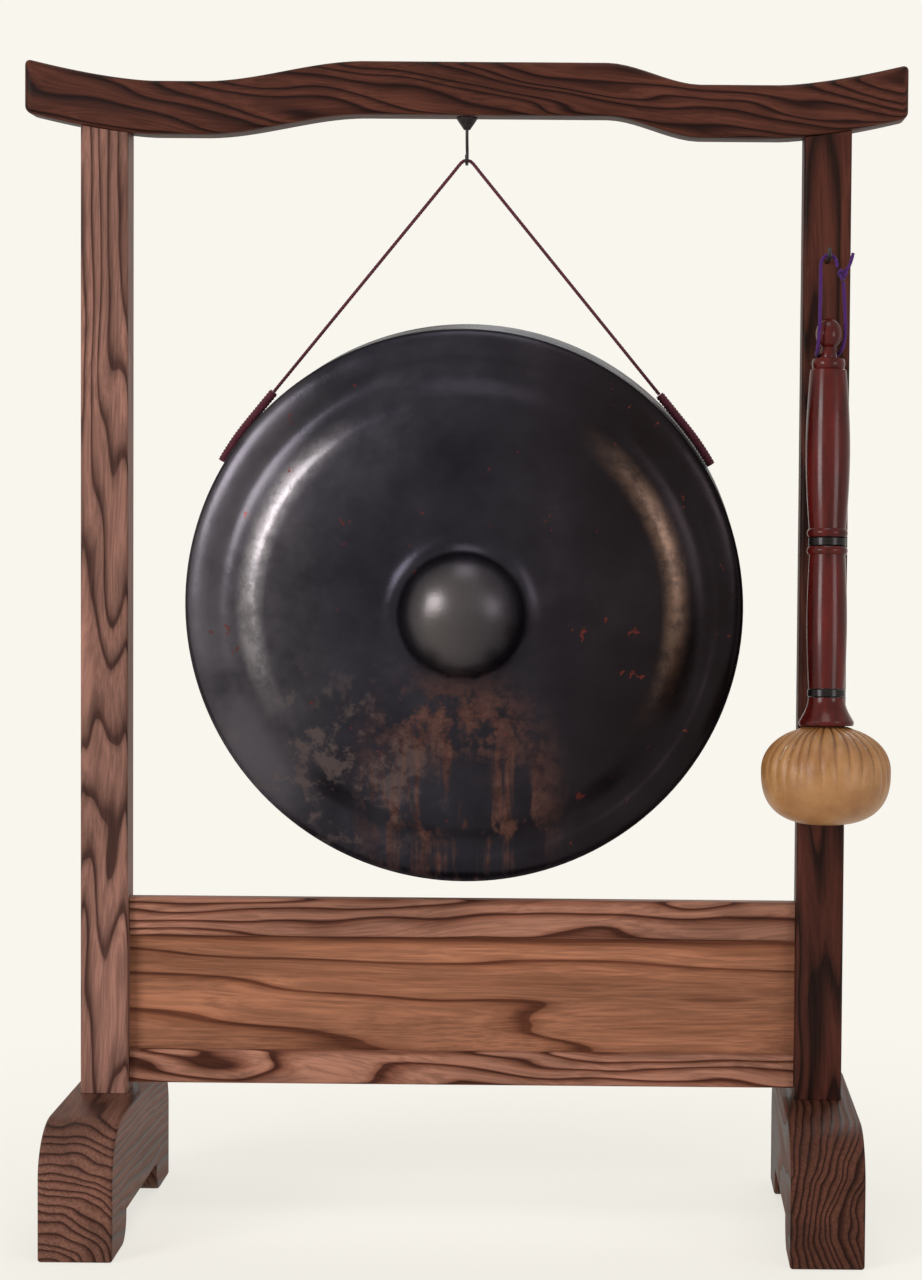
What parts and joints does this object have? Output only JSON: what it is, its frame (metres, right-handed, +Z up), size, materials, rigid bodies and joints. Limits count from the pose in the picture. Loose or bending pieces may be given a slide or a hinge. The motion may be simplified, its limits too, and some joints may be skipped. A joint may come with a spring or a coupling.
{
  "type": "bossed gong on a stand",
  "caption": "Hanging bronze gong with a raised boss, corded to a hook under a wavy wooden beam on a two-post footed stand, with a leather-headed beater on the right post.",
  "frame": {"origin": "on the floor, in the middle of the stand between its feet", "axes": "+X to the player's right along the beam, +Y away from the player, +Z up"},
  "size_m": [0.563, 0.24, 0.7475],
  "materials": {
    "stand_wood": "charred, brushed softwood with strong dark grain, satin",
    "panel_wood": "lighter brushed softwood with long wavy grain, satin",
    "gong_bronze": "dark blue-black patina with brown patches, semi-gloss",
    "black_iron": "blackened iron",
    "gong_cord": "dark crimson twisted cord",
    "purple_cord": "purple braided cord with a soft sheen",
    "red_lacquer": "glossy dark red lacquer on turned wood",
    "black_lacquer": "glossy black lacquer",
    "tan_leather": "golden tan gathered leather",
    "core_felt": "pressed felt"
  },
  "bodies": {
    "stand": {"top_beam": "stand_wood", "left_post": "stand_wood", "right_post": "stand_wood", "top_rail": "stand_wood", "bottom_rail": "stand_wood", "panel": "panel_wood", "left_foot": "stand_wood", "right_foot": "stand_wood", "hook_collar": "black_iron", "beater_hook": "black_iron"},
    "hanger": {"gong_hook": "black_iron"},
    "gong": {"gong": "gong_bronze", "gong_cord": "gong_cord", "left_lashing": "gong_cord", "right_lashing": "gong_cord", "left_rim_knot": "gong_cord", "right_rim_knot": "gong_cord"},
    "beater_loop": {"beater_cord": "purple_cord", "beater_cord_knot": "purple_cord"},
    "beater": {"beater_handle": "red_lacquer", "upper_band": "black_lacquer", "lower_band": "black_lacquer", "beater_ferrule": "red_lacquer", "head_core": "core_felt", "leather_cover": "tan_leather", "leather_tie": "gong_cord"}
  },
  "joints": [
    {"name": "gong_turn", "type": "hinge", "parent": "stand", "child": "hanger", "pos_m": [0, 0, 0.7], "axis": [0, 0, 1], "range_deg": [-20, 20]},
    {"name": "gong_swing", "type": "hinge", "parent": "hanger", "child": "gong", "pos_m": [0, 0, 0.68597], "axis": [1, 0, 0], "range_deg": [-15, 15]},
    {"name": "beater_sway", "type": "hinge", "parent": "stand", "child": "beater_loop", "pos_m": [0.23075, -0.033, 0.62226], "axis": [0, 1, 0], "range_deg": [-30, 2]},
    {"name": "beater_tip", "type": "hinge", "parent": "beater_loop", "child": "beater", "pos_m": [0.23075, -0.03746, 0.56222], "axis": [-1, 0, 0], "range_deg": [0, 15]}
  ]
}
